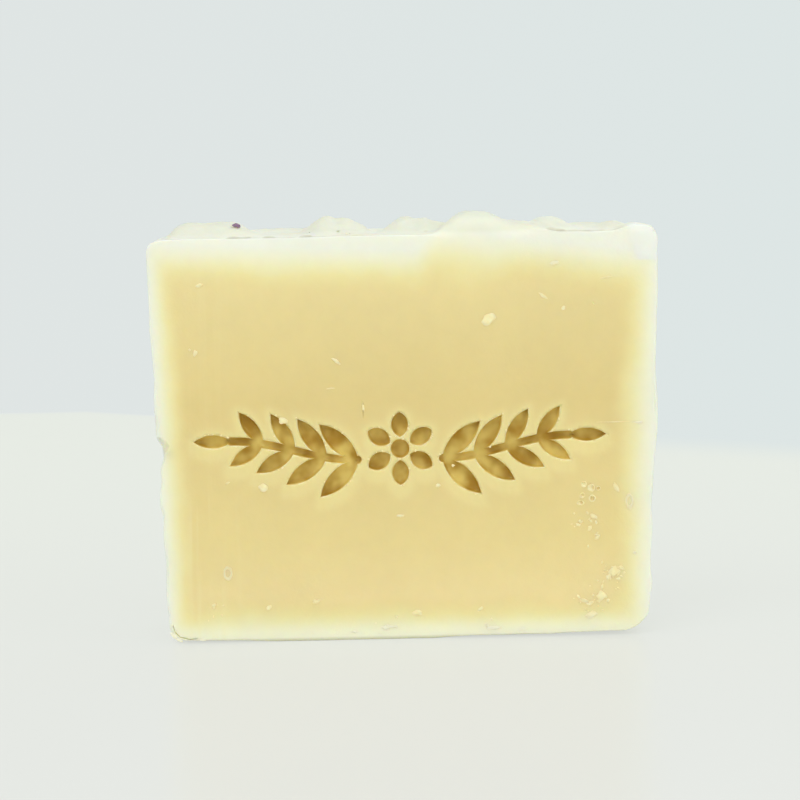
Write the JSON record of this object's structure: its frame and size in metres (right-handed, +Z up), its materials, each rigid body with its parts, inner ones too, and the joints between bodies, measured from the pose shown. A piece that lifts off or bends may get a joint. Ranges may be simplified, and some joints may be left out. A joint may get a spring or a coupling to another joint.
{
  "type": "soap bar",
  "caption": "Upright slice of handmade soap with flat cut faces, a softly swelling poured top and a pressed leafy sprig, for washing.",
  "frame": {"origin": "middle of the base, on the surface that the bar stands on", "axes": "+X along the bar to the right as the stamped front is seen, +Y from the stamped front to the back, +Z up from the base to the poured top"},
  "size_m": [0.0818, 0.025, 0.0689],
  "materials": {
    "soap": "satin, honey yellow inside with a pale cream rind and a white chalky top",
    "dried_flower": "matt, dark purple"
  },
  "bodies": {
    "root": {"soap_bar": "soap", "flower_crumb": "dried_flower"}
  },
  "joints": []
}
